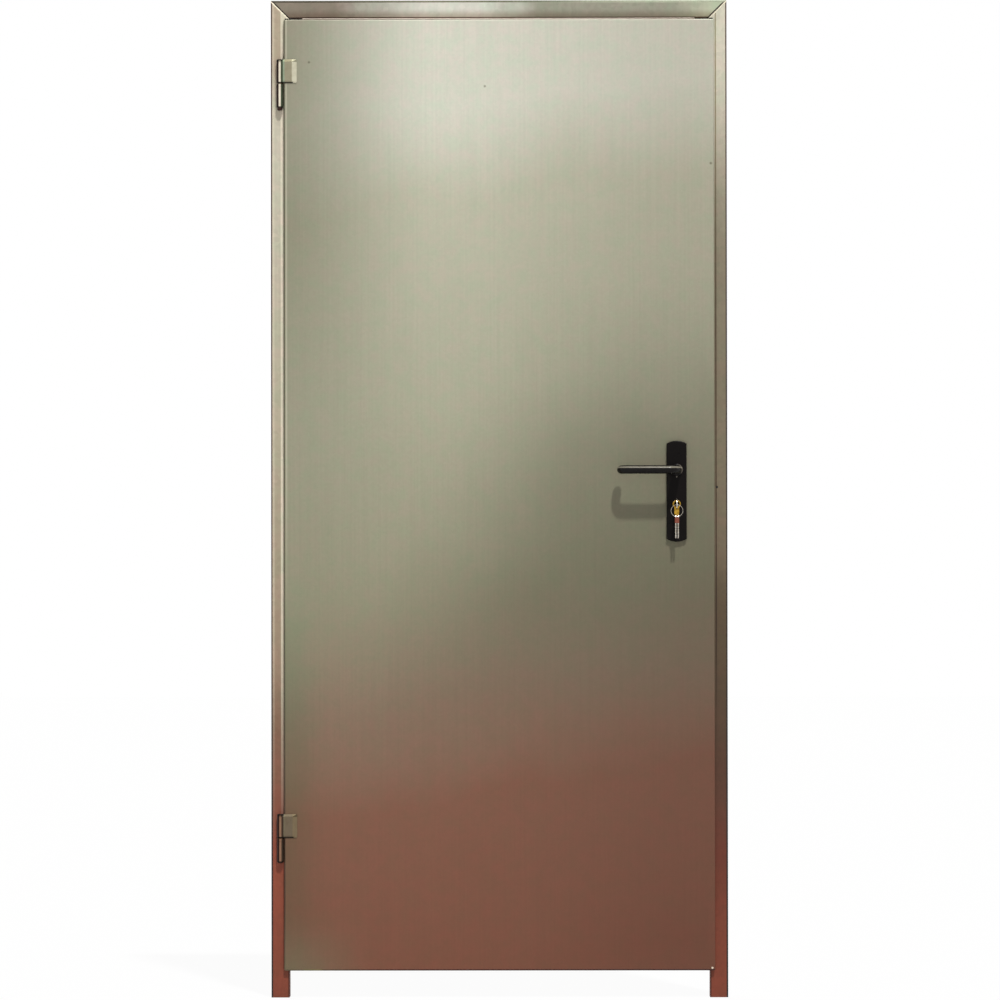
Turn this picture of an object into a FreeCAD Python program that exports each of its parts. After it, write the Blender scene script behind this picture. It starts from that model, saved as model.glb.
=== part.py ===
import FreeCAD, Part
import math
import os

# A galvanised steel service door: a sheet-steel leaf hung in a mitred frame of
# rectangular tube. Millimetres, +Z up, +X from the hinge jamb to the lock jamb,
# -Y towards the side that the leaf opens to. The origin lies on the hinge jamb's
# outer face, at the middle of its depth and level with the finished floor.

V = FreeCAD.Vector
X_AXIS = V(1, 0, 0)
Y_AXIS = V(0, 1, 0)
Z_AXIS = V(0, 0, 1)

# Frame
frame_width = 960.0
frame_face = 38.0
frame_depth = 50.0
frame_wall = 1.5
frame_corner = 3.0
leg_sink = 50.0
mitre_groove_width = 3.6
mitre_groove_depth = 1.2

# Leaf
leaf_height = 2000.0
leaf_floor_gap = 7.0
leaf_thickness = 44.0
leaf_side_lap = 10.5
leaf_head_gap = 3.0
leaf_edge_depth = 6.0
sheet = 0.8
fold_radius = 2.4
face_gap = 5.0
body_side_gap = 9.0
body_head_gap = 7.0
body_foot_rise = 2.0

# Lap seals on the jamb faces
seal_width = 7.5
seal_inset = 1.0
seal_air = 0.6

# Lift-off hinges
barrel_radius = 7.0
barrel_length = 50.0
barrel_edge = 1.2
barrel_collar = 6.0
barrel_groove = 1.0
barrel_groove_depth = 0.6
pin_radius = 4.0
pin_clearance = 0.05
pin_end_air = 1.0
pin_head_radius = 5.4
barrel_face_gap = 2.0
barrel_leaf_gap = 1.0
washer_thickness = 1.2
washer_air = 0.1
washer_inset = 0.5
barrel_cap = 4.0
wing_reach = 35.5
wing_thickness = 4.0
wing_corner = 4.0
wing_slope = 10.0
wing_end_slope = 5.0
wing_edge = 1.4
lug_width = 9.0
top_hinge_drop = 134.5
bottom_hinge_rise = 278.0
top_pin_tail = 6.0
bottom_pin_tail = 1.5

# Lever set
backset = 60.0
lever_height = 1058.0
lock_centres = 72.0
plate_width = 42.0
plate_length = 212.0
plate_thickness = 9.0
plate_above_lever = 61.0
plate_end_radius = 40.0
plate_edge_round = 2.5
lever_radius = 9.0
lever_reach = 125.5
lever_stand_off = 47.0
lever_bend = 17.0
lever_return = 30.0
lever_tip_bevel = 3.0
collar_radius = 12.5
collar_height = 6.0
collar_bevel = 2.0
collar_air = 0.4
spindle_side = 8.0
spindle_grip = 14.0
spindle_air = 0.05
spindle_end_air = 1.0
spindle_hole_air = 1.5

# Lock
forend_width = 20.0
forend_length = 235.0
forend_thickness = 3.0
forend_proud = 0.5
forend_above_lever = 80.0
latch_width = 12.0
latch_height = 26.0
dead_bolt_width = 11.0
dead_bolt_height = 34.0
bolt_proud = 0.5
bolt_depth = 24.0
bolt_air = 0.4
latch_slant = 2.0
strike_thickness = 1.5
strike_width = 26.0
strike_length = 190.0
strike_corner = 4.0
strike_slot_air = 3.0
cylinder_radius = 8.5
cylinder_web = 10.0
cylinder_drop = 24.0
cylinder_proud = 3.0
cylinder_air = 0.3
keyway_width = 2.8
keyway_height = 8.8
keyway_depth = 30.0

# Keys
key_thickness = 2.2
key_bow_radius = 11.5
key_eye_radius = 3.5
key_eye_rim = 2.6
key_blade_width = 8.0
key_blade_length = 30.0
key_shoulder_lap = 1.0
key_tip_half = 1.2
key_cuts = 5
key_deep_cut = 2.2
key_shallow_cut = 1.1
key_bow_air = 1.5
ring_radius = 12.0
ring_wire = 0.9
ring_sides = 6
ring_air = 0.4
hanging_key_spacing = 5.2
hanging_blade_width = 7.0
hanging_blade_length = 39.0
hanging_bow_radius = 6.5
hanging_thickness = 2.5
band_height = 12.0
band_wall = 0.6
band_ring_air = 1.0

# Wall anchor holes through each jamb
anchor_hole_radius = 5.25
anchor_rise = 400.0
anchor_drop = 348.0

# How far a cutter stands out past what it cuts
over = 1.0

# Levels and lines worked out from the sizes above
frame_front = -frame_depth / 2
frame_back = frame_depth / 2
opening_left = frame_face
opening_right = frame_width - frame_face
leaf_left = opening_left - leaf_side_lap
leaf_right = opening_right + leaf_side_lap
leaf_bottom = leaf_floor_gap
leaf_top = leaf_bottom + leaf_height
head_bottom = leaf_top + leaf_head_gap
frame_top = head_bottom + frame_face
leaf_front = frame_front - face_gap - leaf_edge_depth
leaf_back = leaf_front + leaf_thickness
lip_back = leaf_front + leaf_edge_depth
body_left = opening_left + body_side_gap
body_right = opening_right - body_side_gap
body_bottom = leaf_bottom + body_foot_rise
body_top = head_bottom - body_head_gap
hinge_x = leaf_left - barrel_leaf_gap - barrel_radius
hinge_y = frame_front - barrel_face_gap - barrel_radius
lever_x = body_right - backset
cylinder_z = lever_height - lock_centres
plate_front = leaf_front - plate_thickness
plate_back = leaf_back + plate_thickness
plate_top = lever_height + plate_above_lever


def box(x0, x1, y0, y1, z0, z1):
    """A block between two corners."""
    return Part.makeBox(x1 - x0, y1 - y0, z1 - z0, V(x0, y0, z0))


def rounded_rectangle(u0, u1, v0, v1, radius, point):
    """The face of a rectangle with round corners; point turns (u, v) into space."""
    edges = []
    corners = [(u1, v0, -90), (u1, v1, 0), (u0, v1, 90), (u0, v0, 180)]
    starts = []
    ends = []
    for u, v, turn in corners:
        centre_u = u + radius if u == u0 else u - radius
        centre_v = v + radius if v == v0 else v - radius
        places = []
        for step in (0, 45, 90):
            angle = math.radians(turn + step)
            place = point(centre_u + radius * math.cos(angle), centre_v + radius * math.sin(angle))
            places.append(place)
        edges.append(Part.Arc(places[0], places[1], places[2]).toShape())
        starts.append(places[0])
        ends.append(places[2])
    for index in range(len(corners)):
        edges.append(Part.LineSegment(ends[index - 1], starts[index]).toShape())
    return Part.Face(Part.Wire(Part.__sortEdges__(edges)))


def prism(points, push):
    """A flat polygon pushed along a vector."""
    return Part.Face(Part.makePolygon(points + points[:1])).extrude(push)


def round_edges(shape, radius, chosen):
    """Round the edges that the test picks."""
    return shape.makeFillet(radius, [edge for edge in shape.Edges if chosen(edge)])


def bevel_edges(shape, width, chosen):
    """Bevel the edges that the test picks."""
    return shape.makeChamfer(width, [edge for edge in shape.Edges if chosen(edge)])


def along(axis):
    """A test for straight edges that run along an axis."""
    def test(edge):
        if not isinstance(edge.Curve, Part.Line):
            return False
        return abs(edge.Curve.Direction.dot(axis)) > 0.999
    return test


def at_y(level):
    """A test for edges that lie at one depth."""
    def test(edge):
        return abs(edge.BoundBox.YMin - level) < 0.01 and abs(edge.BoundBox.YMax - level) < 0.01
    return test


# Frame: two jambs that run on below the floor as legs, mitred to a head rail

def tube_section(point, u0, u1, v0, v1):
    """A tube's wall in section, with the outside corners rolled round."""
    outer = rounded_rectangle(u0, u1, v0, v1, frame_corner, point)
    inner = rounded_rectangle(u0 + frame_wall, u1 - frame_wall, v0 + frame_wall, v1 - frame_wall,
                              frame_corner - frame_wall, point)
    return outer.cut(inner)


def mitre_wedge(outer_x, inner_x):
    """What a jamb loses above its mitre."""
    reach = outer_x - inner_x
    points = [V(outer_x + reach, frame_front - over, frame_top + frame_face),
              V(inner_x - reach, frame_front - over, head_bottom - frame_face),
              V(inner_x - reach, frame_front - over, frame_top + frame_face)]
    return prism(points, V(0, frame_depth + 2 * over, 0))


def mitre_grooves(outer_x, inner_x):
    """The V groove that the ground edges of a mitre leave, on the front and on the back."""
    start = V(outer_x, 0, frame_top)
    run = V(inner_x, 0, head_bottom) - start
    across = run.cross(Y_AXIS).normalize() * mitre_groove_width
    grooves = []
    for face, inwards in ((frame_front, Y_AXIS), (frame_back, -Y_AXIS)):
        bottom = start + Y_AXIS * face + inwards * mitre_groove_depth
        top = bottom - inwards * 2 * mitre_groove_depth
        grooves.append(prism([bottom, top + across, top - across], run))
    return grooves


def anchor_holes(x0, x1):
    """Two bores through a jamb, for the anchors that hold it to the wall."""
    holes = []
    for level in (anchor_rise, frame_top - anchor_drop):
        start = V(x0 - over, 0, level)
        holes.append(Part.makeCylinder(anchor_hole_radius, x1 - x0 + 2 * over, start, X_AXIS))
    return holes


def jamb(x0, x1, outer_x, inner_x):
    """One upright of the frame."""
    section = tube_section(lambda u, v: V(u, v, -leg_sink), x0, x1, frame_front, frame_back)
    upright = section.extrude(V(0, 0, frame_top + leg_sink))
    cuts = [mitre_wedge(outer_x, inner_x)] + mitre_grooves(outer_x, inner_x) + anchor_holes(x0, x1)
    return upright.cut(cuts)


def strike_slots(x0, x1):
    """The two slots that the latch and the dead bolt shoot into."""
    middle = (lip_back + leaf_back) / 2
    slots = []
    for width, height, level in ((latch_width, latch_height, lever_height),
                                 (dead_bolt_width, dead_bolt_height, cylinder_z)):
        half_width = width / 2 + strike_slot_air
        half_height = height / 2 + strike_slot_air
        slots.append(box(x0, x1, middle - half_width, middle + half_width,
                         level - half_height, level + half_height))
    return slots


def hinge_jamb():
    return jamb(0, opening_left, 0, opening_left)


def lock_jamb():
    upright = jamb(opening_right, frame_width, frame_width, opening_right)
    return upright.cut(strike_slots(opening_right - over, opening_right + frame_wall + over))


def head_rail():
    section = tube_section(lambda u, v: V(0, u, v), frame_front, frame_back, head_bottom, frame_top)
    rail = section.extrude(V(frame_width, 0, 0))
    near = frame_front - over
    kept = prism([V(0, near, frame_top), V(frame_width, near, frame_top),
                  V(opening_right, near, head_bottom), V(opening_left, near, head_bottom)],
                 V(0, frame_depth + 2 * over, 0))
    return rail.common(kept).cut(mitre_grooves(0, opening_left) + mitre_grooves(frame_width, opening_right))


def lap_seal(x0, x1):
    """A soft strip on a jamb's face that the leaf's lip closes on."""
    lowest = body_bottom
    strip = box(x0, x1, frame_front - face_gap + seal_air, frame_front, lowest, head_bottom)
    return round_edges(strip, seal_air,
                       lambda edge: along(Z_AXIS)(edge) and edge.BoundBox.YMax < frame_front)


def strike_plate():
    middle_y = (lip_back + leaf_back) / 2
    middle_z = (lever_height + cylinder_z) / 2
    plate = box(opening_right - strike_thickness, opening_right,
                middle_y - strike_width / 2, middle_y + strike_width / 2,
                middle_z - strike_length / 2, middle_z + strike_length / 2)
    plate = round_edges(plate, strike_corner, along(X_AXIS))
    return plate.cut(strike_slots(opening_right - strike_thickness - over, opening_right + over))


# Leaf: a folded front tray, a folded back tray hemmed to it and a stiff core

def lock_cut(y0, y1):
    """The way through the leaf for the lever's spindle and the profile cylinder."""
    hole_radius = spindle_side / math.sqrt(2) + spindle_hole_air
    spindle_hole = Part.makeCylinder(hole_radius, y1 - y0, V(lever_x, y0, lever_height), Y_AXIS)
    return [spindle_hole, cylinder_solid(y0, y1, cylinder_air)]


def forend_pocket():
    """The notch in the leaf's edge that the lock's forend and bolts sit in."""
    middle = (lip_back + leaf_back) / 2
    top = lever_height + forend_above_lever
    forend = box(body_right - forend_thickness + forend_proud, body_right + over,
                 middle - forend_width / 2, middle + forend_width / 2, top - forend_length, top)
    bolts = []
    for width, height, level in bolt_sizes():
        bolts.append(box(body_right - bolt_depth, body_right, middle - width / 2 - bolt_air,
                         middle + width / 2 + bolt_air, level - height / 2 - bolt_air,
                         level + height / 2 + bolt_air))
    return [forend] + bolts


def bolt_sizes():
    return ((latch_width, latch_height, lever_height),
            (dead_bolt_width, dead_bolt_height, cylinder_z))


def leaf_front_skin():
    outer = box(leaf_left, leaf_right, leaf_front, lip_back, leaf_bottom, leaf_top)
    outer = round_edges(outer, fold_radius, lambda edge: at_y(leaf_front)(edge) or along(Y_AXIS)(edge))
    inner = box(leaf_left + sheet, leaf_right - sheet, leaf_front + sheet, lip_back + over,
                leaf_bottom + sheet, leaf_top - sheet)
    inner = round_edges(inner, fold_radius - sheet,
                        lambda edge: at_y(leaf_front + sheet)(edge) or along(Y_AXIS)(edge))
    return outer.cut([inner] + lock_cut(leaf_front - over, lip_back))


def leaf_back_skin():
    lip_front = lip_back - sheet
    outer = box(body_left, body_right, lip_front, leaf_back, body_bottom, body_top)
    outer = round_edges(outer, fold_radius, lambda edge: at_y(leaf_back)(edge) or along(Y_AXIS)(edge))
    flange = box(leaf_left + sheet, leaf_right - sheet, lip_front, lip_back,
                 leaf_bottom + sheet, leaf_top - sheet)
    flange = round_edges(flange, fold_radius - sheet, along(Y_AXIS))
    inner = box(body_left + sheet, body_right - sheet, lip_front - over, leaf_back - sheet,
                body_bottom + sheet, body_top - sheet)
    inner = round_edges(inner, fold_radius - sheet,
                        lambda edge: at_y(leaf_back - sheet)(edge) or along(Y_AXIS)(edge))
    ways = lock_cut(lip_front - over, leaf_back + over)
    shell = outer.fuse(flange).cut([inner] + ways + forend_pocket())
    return shell.removeSplitter()


def leaf_core():
    core = box(body_left + sheet, body_right - sheet, leaf_front + sheet, leaf_back - sheet,
               body_bottom + sheet, body_top - sheet)
    core = bevel_edges(core, fold_radius - sheet,
                       lambda edge: at_y(leaf_back - sheet)(edge) or along(Y_AXIS)(edge))
    return core.cut(lock_cut(leaf_front, leaf_back) + forend_pocket())


# Hinges: the leaf's half is a closed barrel with a wing, the frame's half carries the pin

def round_bar(radius, z0, z1):
    """A round bar on the hinges' axis."""
    return Part.makeCylinder(radius, z1 - z0, V(hinge_x, hinge_y, z0), Z_AXIS)


def flat_at_z(levels):
    """A test for edges that lie at one of the levels."""
    def test(edge):
        bounds = edge.BoundBox
        return any(abs(bounds.ZMin - level) < 0.01 and abs(bounds.ZMax - level) < 0.01 for level in levels)
    return test


def barrel(z0, z1):
    """A turned barrel, bevelled at both ends, with a groove under the collar at its top."""
    body = bevel_edges(round_bar(barrel_radius, z0, z1), barrel_edge, flat_at_z((z0, z1)))
    top = z1 - barrel_collar
    groove = round_bar(barrel_radius + over, top - barrel_groove, top)
    return body.cut(groove.cut(round_bar(barrel_radius - barrel_groove_depth, top - barrel_groove, top)))


def hinge_wing(parting):
    """The leaf's half: a capped barrel, and a wing that slopes down to the leaf at its edges."""
    low = parting + washer_thickness / 2 + washer_air
    high = low + barrel_length
    face = leaf_front - wing_thickness
    edge_y = leaf_front - wing_edge
    left = hinge_x
    right = hinge_x + wing_reach
    across = prism([V(left, leaf_front, low), V(left, face, low), V(right - wing_slope, face, low),
                    V(right, edge_y, low), V(right, leaf_front, low)], V(0, 0, high - low))
    along_z = prism([V(left, leaf_front, low), V(left, edge_y, low), V(left, face, low + wing_end_slope),
                     V(left, face, high - wing_end_slope), V(left, edge_y, high), V(left, leaf_front, high)],
                    V(wing_reach, 0, 0))
    wing = round_edges(across.common(along_z), wing_corner,
                       lambda edge: along(Y_AXIS)(edge) and edge.BoundBox.XMin > right - 0.01)
    bore = round_bar(pin_radius + pin_clearance, low, high - barrel_cap)
    return barrel(low, high).fuse(wing).cut(bore).removeSplitter()


def hinge_barrel(parting):
    high = parting - washer_thickness / 2
    low = high - barrel_length
    lug = box(hinge_x - lug_width / 2, hinge_x + lug_width / 2, hinge_y, frame_front,
              low + barrel_edge, high - barrel_edge)
    bore = round_bar(pin_radius + pin_clearance, low, high)
    return barrel(low, high).fuse(lug).cut(bore).removeSplitter()


def hinge_pin(parting, tail):
    low = parting - washer_thickness / 2 - barrel_length
    high = parting + washer_thickness / 2 + barrel_length - barrel_cap - pin_end_air
    head = round_bar(pin_head_radius, low - tail, low)
    head = bevel_edges(head, min(barrel_edge, tail / 2), flat_at_z((low - tail,)))
    return round_bar(pin_radius, low, high).fuse(head).removeSplitter()


def hinge_washer(parting):
    low = parting - washer_thickness / 2
    high = parting + washer_thickness / 2
    ring = round_bar(barrel_radius - washer_inset, low, high)
    return ring.cut(round_bar(pin_radius + pin_clearance, low, high))


# Lever set: long plates with bowed ends, and returned round-bar levers on one spindle

def plate_blank(y0, y1):
    """A long plate whose two ends are shallow arcs."""
    half = plate_width / 2
    rise = plate_end_radius - math.sqrt(plate_end_radius ** 2 - half ** 2)
    top = plate_top
    bottom = plate_top - plate_length
    corners = [V(lever_x - half, y0, bottom + rise), V(lever_x + half, y0, bottom + rise),
               V(lever_x + half, y0, top - rise), V(lever_x - half, y0, top - rise)]
    edges = [Part.Arc(corners[0], V(lever_x, y0, bottom), corners[1]).toShape(),
             Part.LineSegment(corners[1], corners[2]).toShape(),
             Part.Arc(corners[2], V(lever_x, y0, top), corners[3]).toShape(),
             Part.LineSegment(corners[3], corners[0]).toShape()]
    return Part.Face(Part.Wire(edges)).extrude(V(0, y1 - y0, 0))


def cover_plate(inner_y, outer_y):
    """A cover plate, from the leaf's face to the plate's own face."""
    low, high = sorted((inner_y, outer_y))
    plate = round_edges(plate_blank(low, high), plate_edge_round, at_y(outer_y))
    hub_radius = spindle_side / math.sqrt(2) + spindle_hole_air
    hub = Part.makeCylinder(hub_radius, plate_thickness, V(lever_x, low, lever_height), Y_AXIS)
    return plate.cut([hub, cylinder_solid(low, high, cylinder_air)])


def bend_piece(start, outwards, pivot, axis):
    """A quarter turn of round bar, from a disc at its start about a pivot line."""
    disc = Part.Face(Part.Wire(Part.makeCircle(lever_radius, start, outwards)))
    return disc.revolve(pivot, axis, 90)


def lever(plate_face, side):
    """A returned lever: collar, neck, bend, grip, bend and end, outwards along side * Y."""
    out = V(0, side, 0)
    start = plate_face + side * collar_air
    grip_y = plate_face + side * lever_stand_off
    bend_y = grip_y - side * lever_bend
    tip_y = grip_y - side * lever_return
    end_x = lever_x - lever_reach + lever_radius
    grip_left = end_x + lever_bend
    grip_right = lever_x - lever_bend
    neck = Part.makeCylinder(lever_radius, abs(bend_y - start), V(lever_x, start, lever_height), out)
    neck_bend = bend_piece(V(lever_x, bend_y, lever_height), out, V(grip_right, bend_y, lever_height),
                           V(0, 0, side))
    grip = Part.makeCylinder(lever_radius, grip_right - grip_left, V(grip_left, grip_y, lever_height), X_AXIS)
    end_bend = bend_piece(V(end_x, bend_y, lever_height), out, V(grip_left, bend_y, lever_height),
                          V(0, 0, -side))
    end = Part.makeCylinder(lever_radius, abs(bend_y - tip_y), V(end_x, tip_y, lever_height), out)
    end = bevel_edges(end, lever_tip_bevel, at_y(tip_y))
    collar = Part.makeCylinder(collar_radius, collar_height, V(lever_x, start, lever_height), out)
    collar = bevel_edges(collar, collar_bevel, at_y(start + side * collar_height))
    shape = neck.fuse([neck_bend, grip, end_bend, end, collar])
    pocket = square_bar(start, start + side * (spindle_grip - collar_air), spindle_air)
    return shape.cut(pocket).removeSplitter()


def square_bar(y0, y1, air):
    low, high = sorted((y0, y1))
    half = spindle_side / 2 + air
    return box(lever_x - half, lever_x + half, low, high, lever_height - half, lever_height + half)


def spindle():
    reach = spindle_grip - spindle_end_air
    return square_bar(plate_front - reach, plate_back + reach, 0)


# Lock: forend and bolts in the leaf's edge, and a profile cylinder through the leaf

def cylinder_solid(y0, y1, air):
    """The profile cylinder's outline: a round head over a narrower web with a round foot."""
    head = Part.makeCylinder(cylinder_radius + air, y1 - y0, V(lever_x, y0, cylinder_z), Y_AXIS)
    half = cylinder_web / 2 + air
    foot_z = cylinder_z - cylinder_drop + cylinder_web / 2
    web = box(lever_x - half, lever_x + half, y0, y1, foot_z, cylinder_z)
    foot = Part.makeCylinder(half, y1 - y0, V(lever_x, y0, foot_z), Y_AXIS)
    return head.fuse([web, foot]).removeSplitter()


def lock_cylinder():
    """A profile cylinder with a keyway in either face."""
    front = plate_front - cylinder_proud
    back = plate_back + cylinder_proud
    keyways = []
    for y0, y1 in ((front, front + keyway_depth), (back - keyway_depth, back)):
        keyways.append(box(lever_x - keyway_width / 2, lever_x + keyway_width / 2, y0, y1,
                           cylinder_z - keyway_height / 2, cylinder_z + keyway_height / 2))
    return cylinder_solid(front, back, 0).cut(keyways)


def lock_forend():
    middle = (lip_back + leaf_back) / 2
    top = lever_height + forend_above_lever
    outer = body_right + forend_proud
    plate = box(outer - forend_thickness, outer, middle - forend_width / 2, middle + forend_width / 2,
                top - forend_length, top)
    cuts = []
    for width, height, level in bolt_sizes():
        cuts.append(box(outer - forend_thickness - over, outer + over, middle - width / 2 - bolt_air,
                        middle + width / 2 + bolt_air, level - height / 2 - bolt_air,
                        level + height / 2 + bolt_air))
    return plate.cut(cuts)


def latch_bolt():
    """The sprung latch, drawn back, with its slanted nose."""
    middle = (lip_back + leaf_back) / 2
    half = latch_width / 2
    low = lever_height - latch_height / 2
    root = body_right - bolt_depth
    tip = body_right + forend_proud + bolt_proud
    points = [V(root, middle - half, low), V(tip, middle - half, low),
              V(tip - latch_slant, middle + half, low), V(root, middle + half, low)]
    return prism(points, V(0, 0, latch_height))


def dead_bolt():
    middle = (lip_back + leaf_back) / 2
    half = dead_bolt_width / 2
    return box(body_right - bolt_depth, body_right + forend_proud + bolt_proud, middle - half, middle + half,
               cylinder_z - dead_bolt_height / 2, cylinder_z + dead_bolt_height / 2)


# Keys: one in the cylinder, a split ring through its eye, and the spare keys on the ring

def key_eye_offset(bow_radius, eye_radius):
    """How far a key's eye stands off the middle of its bow."""
    return bow_radius - eye_radius - key_eye_rim


def key_shape(bow_radius, eye_radius, blade_width, blade_length, thickness):
    """A key with its eye at the origin, flat in the XZ plane, its blade pointing down."""
    middle = -key_eye_offset(bow_radius, eye_radius)
    near = -thickness / 2
    half = blade_width / 2
    shoulder = middle - math.sqrt(bow_radius ** 2 - half ** 2) + key_shoulder_lap
    tip = shoulder - blade_length
    point = tip + half - key_tip_half
    bow = Part.makeCylinder(bow_radius, thickness, V(0, near, middle), Y_AXIS)
    blade = prism([V(-half, near, middle), V(-half, near, point), V(-key_tip_half, near, tip),
                   V(key_tip_half, near, tip), V(half, near, point), V(half, near, middle)],
                  V(0, thickness, 0))
    cuts = []
    pitch = (shoulder - point) / (key_cuts + 1)
    for index in range(key_cuts):
        depth = key_deep_cut if index % 2 else key_shallow_cut
        level = shoulder - pitch * (index + 1)
        cuts.append(prism([V(half - depth, near - over, level),
                           V(half + over, near - over, level + depth + over),
                           V(half + over, near - over, level - depth - over)],
                          V(0, thickness + 2 * over, 0)))
    eye = Part.makeCylinder(eye_radius, thickness + 2 * over, V(0, near - over, 0), Y_AXIS)
    return bow.fuse(blade).cut(cuts + [eye]).removeSplitter()


def placed(shape, x_dir, y_dir, z_dir, origin):
    """The shape with its own axes laid along three directions, at a new origin."""
    matrix = FreeCAD.Matrix(x_dir.x, y_dir.x, z_dir.x, origin.x,
                            x_dir.y, y_dir.y, z_dir.y, origin.y,
                            x_dir.z, y_dir.z, z_dir.z, origin.z, 0, 0, 0, 1)
    return shape.transformed(matrix)


eye_y = (plate_front - cylinder_proud - key_bow_air - key_bow_radius
         - key_eye_offset(key_bow_radius, key_eye_radius))
ring_top = cylinder_z - key_eye_radius + ring_wire + ring_air
ring_z = ring_top - ring_radius


def key_in_lock():
    key = key_shape(key_bow_radius, key_eye_radius, key_blade_width, key_blade_length, key_thickness)
    return placed(key, Z_AXIS, X_AXIS, V(0, -1, 0), V(lever_x, eye_y, cylinder_z))


def key_ring():
    """A ring of wire, its section a polygon with flats on all sides."""
    corner_radius = ring_wire / math.cos(math.pi / ring_sides)
    section = []
    for index in range(ring_sides):
        angle = 2 * math.pi * (index + 0.5) / ring_sides
        section.append(V(lever_x + ring_radius + corner_radius * math.cos(angle),
                         eye_y + corner_radius * math.sin(angle), ring_z))
    face = Part.Face(Part.makePolygon(section + section[:1]))
    return face.revolve(V(lever_x, eye_y, ring_z), Y_AXIS, 360)


def hanging_key(offset):
    key = key_shape(hanging_bow_radius, key_eye_radius, hanging_blade_width, hanging_blade_length,
                    hanging_thickness)
    drop = ring_radius * math.cos(math.asin(offset / ring_radius))
    level = ring_z - drop - key_eye_radius + ring_wire + ring_air
    return placed(key, V(0, -1, 0), X_AXIS, Z_AXIS, V(lever_x + offset, eye_y, level))


def key_band():
    """The coloured band that holds the two hanging keys together, just below the ring."""
    half_x = hanging_key_spacing / 2 + hanging_thickness / 2
    half_y = hanging_bow_radius
    top = ring_z - ring_radius - ring_wire - band_ring_air
    outer = box(lever_x - half_x - band_wall, lever_x + half_x + band_wall, eye_y - half_y - band_wall,
                eye_y + half_y + band_wall, top - band_height, top)
    outer = round_edges(outer, band_wall, along(Z_AXIS))
    inner = box(lever_x - half_x, lever_x + half_x, eye_y - half_y, eye_y + half_y,
                top - band_height - over, top + over)
    return outer.cut(inner)


def build():
    hinges = (("top", leaf_top - top_hinge_drop, top_pin_tail),
              ("bottom", leaf_bottom + bottom_hinge_rise, bottom_pin_tail))
    nodes = {
        "hinge_jamb": hinge_jamb(),
        "lock_jamb": lock_jamb(),
        "head_rail": head_rail(),
        "hinge_side_seal": lap_seal(opening_left - seal_inset - seal_width, opening_left - seal_inset),
        "lock_side_seal": lap_seal(opening_right + seal_inset, opening_right + seal_inset + seal_width),
        "strike_plate": strike_plate(),
        "leaf_front_skin": leaf_front_skin(),
        "leaf_back_skin": leaf_back_skin(),
        "leaf_core": leaf_core(),
        "front_plate": cover_plate(leaf_front, plate_front),
        "back_plate": cover_plate(leaf_back, plate_back),
        "front_lever": lever(plate_front, -1),
        "back_lever": lever(plate_back, 1),
        "spindle": spindle(),
        "lock_cylinder": lock_cylinder(),
        "lock_forend": lock_forend(),
        "latch_bolt": latch_bolt(),
        "dead_bolt": dead_bolt(),
        "key_in_lock": key_in_lock(),
        "key_ring": key_ring(),
        "hanging_key_left": hanging_key(-hanging_key_spacing / 2),
        "hanging_key_right": hanging_key(hanging_key_spacing / 2),
        "key_band": key_band(),
    }
    for place, parting, tail in hinges:
        nodes["%s_hinge_wing" % place] = hinge_wing(parting)
        nodes["%s_hinge_barrel" % place] = hinge_barrel(parting)
        nodes["%s_hinge_pin" % place] = hinge_pin(parting, tail)
        nodes["%s_hinge_washer" % place] = hinge_washer(parting)
    return nodes


os.makedirs("parts", exist_ok=True)
for name, shape in build().items():
    shape.exportStep("parts/%s.step" % name)
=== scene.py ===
import math

import bmesh
import bpy
from bpy.props import FloatProperty, FloatVectorProperty, PointerProperty
from mathutils import Matrix, Vector


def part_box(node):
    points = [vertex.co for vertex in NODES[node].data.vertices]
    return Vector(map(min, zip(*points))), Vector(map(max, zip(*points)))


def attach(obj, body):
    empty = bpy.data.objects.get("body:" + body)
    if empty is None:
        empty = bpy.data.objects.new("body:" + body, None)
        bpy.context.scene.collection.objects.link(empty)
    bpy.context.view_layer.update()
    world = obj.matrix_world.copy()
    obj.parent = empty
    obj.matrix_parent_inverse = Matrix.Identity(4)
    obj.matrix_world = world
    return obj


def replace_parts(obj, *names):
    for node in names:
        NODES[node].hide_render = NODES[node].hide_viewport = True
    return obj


bl_info = {
    "name": "Galvanised Service Door",
    "version": (1, 0, 0),
    "blender": (4, 5, 0),
    "location": "View3D > Sidebar > Door",
    "description": "Dresses a galvanised steel service door with its finishes and small fittings",
    "category": "Object",
}

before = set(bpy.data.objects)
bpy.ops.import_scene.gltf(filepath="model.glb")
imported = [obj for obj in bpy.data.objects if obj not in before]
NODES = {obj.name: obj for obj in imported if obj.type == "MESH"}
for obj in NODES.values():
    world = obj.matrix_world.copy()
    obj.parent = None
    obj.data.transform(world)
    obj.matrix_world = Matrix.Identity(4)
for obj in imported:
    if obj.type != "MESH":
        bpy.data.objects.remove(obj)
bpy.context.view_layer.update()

X_AXIS = Vector((1, 0, 0))
Y_AXIS = Vector((0, 1, 0))
Z_AXIS = Vector((0, 0, 1))
SMOOTH_ANGLE = math.radians(35)

# The camera fitted to the photo: its place in metres, its lens in mm and how it is turned
CAMERA_PLACE = (0.576, -12, 0.835)
CAMERA_LENS = 204.93
CAMERA_REACH = 200
HEADING, PITCH, ROLL = math.radians(0.451), math.radians(0.767), math.radians(-0.075)

# Each lamp's direction, strength and spread in degrees, and what the world and the floor give
KEY_LIGHT = (Vector((-0.152, 0.531, -0.834)), 2.8, 3)
BACK_FILL = (Vector((0.45, -0.75, -0.5)), 1.0, 40)
WORLD_FILL = 0.11
FLOOR_GLOW = 0.955
FLOOR_PAPER = (0.9, 0.9, 0.89)
FLOOR_SIZE = 30

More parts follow.
